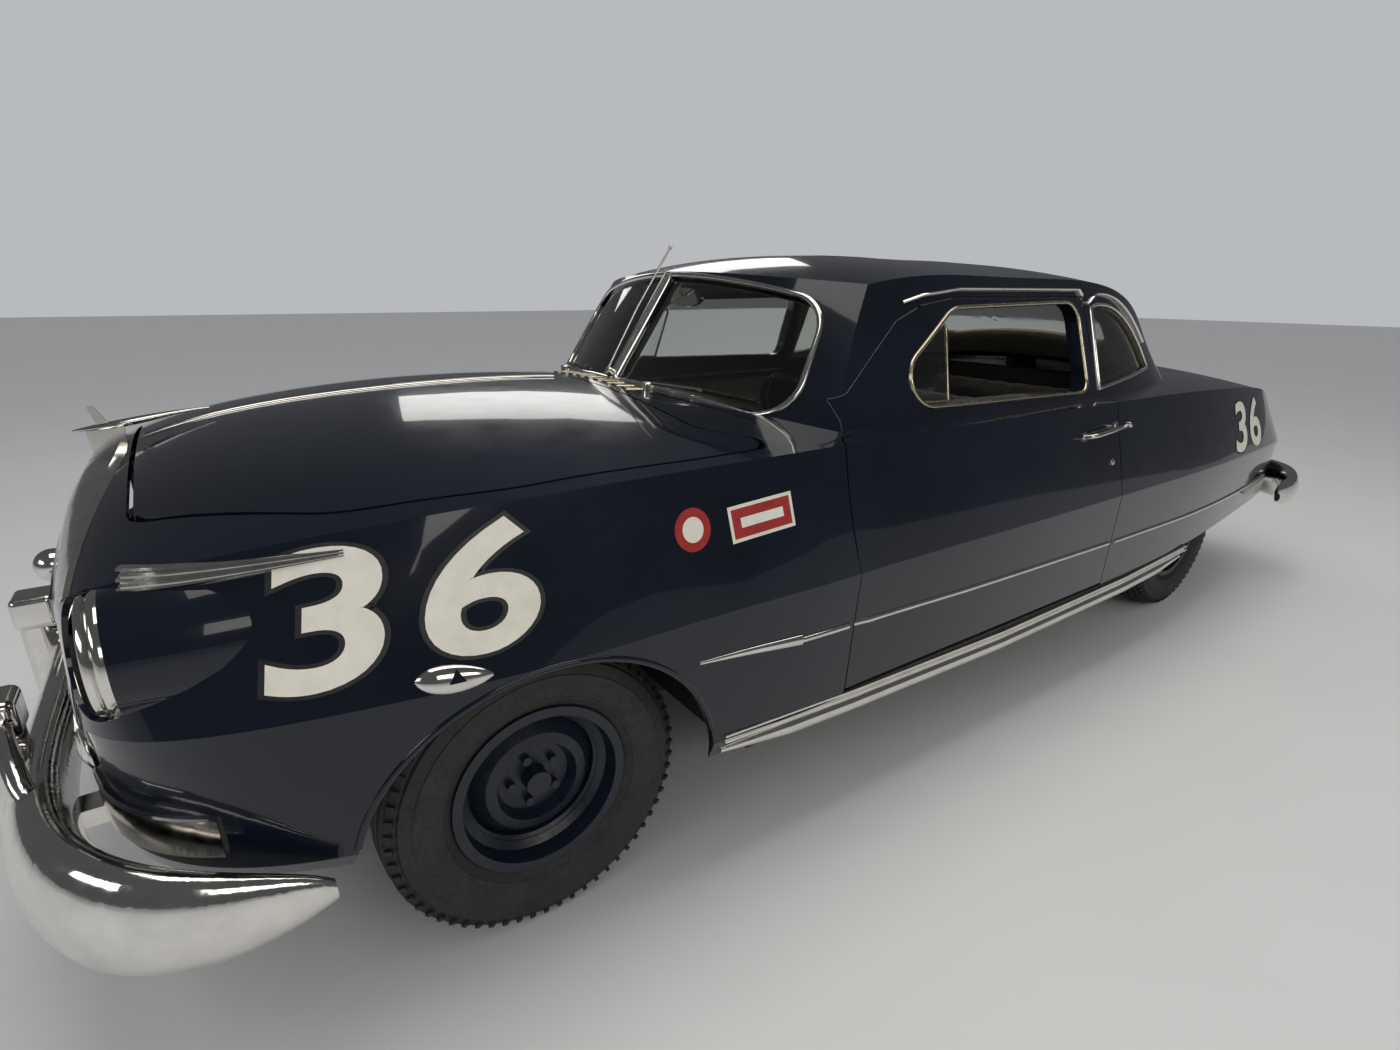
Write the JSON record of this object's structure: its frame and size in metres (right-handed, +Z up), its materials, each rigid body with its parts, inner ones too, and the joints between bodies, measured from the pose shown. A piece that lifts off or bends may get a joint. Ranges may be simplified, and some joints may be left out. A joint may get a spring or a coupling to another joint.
{
  "type": "stock car",
  "caption": "1950s step-down racing coupe in near-black paint with bright trim, opening doors, hood and deck lid, steered front wheels and bench seats.",
  "frame": {"origin": "centre of the bounding box on the ground", "axes": "+X forward, +Y to the car's left, +Z up"},
  "size_m": [5.296, 1.9632, 1.5353],
  "materials": {
    "paint": "gloss",
    "glass": "gloss",
    "underbody": "satin",
    "iron": "satin",
    "pipe": "satin",
    "chrome": "polished",
    "red_lens": "gloss",
    "seat_cloth": "matte",
    "dash_paint": "satin",
    "black_plastic": "gloss",
    "wheel_paint": "gloss",
    "tyre": "matte"
  },
  "bodies": {
    "body": {"front_clip": "paint", "quarters": "paint", "roof": "paint", "windshield": "glass", "rear_window": "glass", "quarter_glass": "glass", "firewall": "underbody", "floor": "underbody", "frame_rails": "underbody", "engine": "iron", "drive_shaft": "underbody", "rear_axle": "underbody", "leaf_springs": "iron", "fuel_tank": "underbody", "exhaust": "pipe", "lower_arms": "underbody", "upper_arms": "underbody", "coil_springs": "iron", "front_bumper": "chrome", "rear_bumper": "chrome", "headlamps": "chrome", "tail_lamps": "red_lens", "grille": "chrome", "nose_trim": "chrome", "nose_ornament": "chrome", "front_seat": "seat_cloth", "rear_seat": "seat_cloth", "seat_risers": "underbody", "dash": "dash_paint", "steering_column": "black_plastic"},
    "hood": {"hood": "paint"},
    "deck_lid": {"deck_lid": "paint"},
    "door_left": {"door_left": "paint"},
    "door_right": {"door_right": "paint"},
    "steering_wheel": {"steering_wheel": "black_plastic"},
    "knuckle_left": {"knuckle_left": "iron"},
    "knuckle_right": {"knuckle_right": "iron"},
    "wheel_front_left": {"rim_front_left": "wheel_paint", "tyre_front_left": "tyre"},
    "wheel_front_right": {"rim_front_right": "wheel_paint", "tyre_front_right": "tyre"},
    "wheel_rear_left": {"rim_rear_left": "wheel_paint", "tyre_rear_left": "tyre"},
    "wheel_rear_right": {"rim_rear_right": "wheel_paint", "tyre_rear_right": "tyre"}
  },
  "joints": [
    {"name": "door_left_hinge", "type": "hinge", "parent": "body", "child": "door_left", "pos_m": [0.803, 0.93, 0.7], "axis": [0, 0, -1], "range_deg": [0, 62]},
    {"name": "door_right_hinge", "type": "hinge", "parent": "body", "child": "door_right", "pos_m": [0.803, -0.93, 0.7], "axis": [0, 0, 1], "range_deg": [0, 62]},
    {"name": "hood_hinge", "type": "hinge", "parent": "body", "child": "hood", "pos_m": [2.063, 0, 1.03], "axis": [0, 1, 0], "range_deg": [0, 45]},
    {"name": "deck_lid_hinge", "type": "hinge", "parent": "body", "child": "deck_lid", "pos_m": [-1.501, 0, 1.112], "axis": [0, 1, 0], "range_deg": [0, 55]},
    {"name": "steer_left", "type": "hinge", "parent": "body", "child": "knuckle_left", "pos_m": [1.663, 0.628, 0.348], "axis": [0, 0, 1], "range_deg": [-28, 28]},
    {"name": "steer_right", "type": "hinge", "parent": "body", "child": "knuckle_right", "pos_m": [1.663, -0.628, 0.348], "axis": [0, 0, 1], "range_deg": [-28, 28]},
    {"name": "steering_wheel_turn", "type": "hinge", "parent": "body", "child": "steering_wheel", "pos_m": [0.493, 0.38, 0.985], "axis": [-0.8335, 0, 0.5525], "range_deg": [-504, 504]},
    {"name": "spin_front_left", "type": "hinge", "parent": "knuckle_left", "child": "wheel_front_left", "pos_m": [1.663, 0.743, 0.348], "axis": [0, 1, 0], "continuous": true},
    {"name": "spin_front_right", "type": "hinge", "parent": "knuckle_right", "child": "wheel_front_right", "pos_m": [1.663, -0.743, 0.348], "axis": [0, 1, 0], "continuous": true},
    {"name": "spin_rear_left", "type": "hinge", "parent": "body", "child": "wheel_rear_left", "pos_m": [-1.483, 0.705, 0.348], "axis": [0, 1, 0], "continuous": true},
    {"name": "spin_rear_right", "type": "hinge", "parent": "body", "child": "wheel_rear_right", "pos_m": [-1.483, -0.705, 0.348], "axis": [0, 1, 0], "continuous": true}
  ],
  "couplings": [
    {"joint": "steer_right", "follows": "steer_left", "ratio": 1},
    {"joint": "steering_wheel_turn", "follows": "steer_left", "ratio": 18}
  ]
}
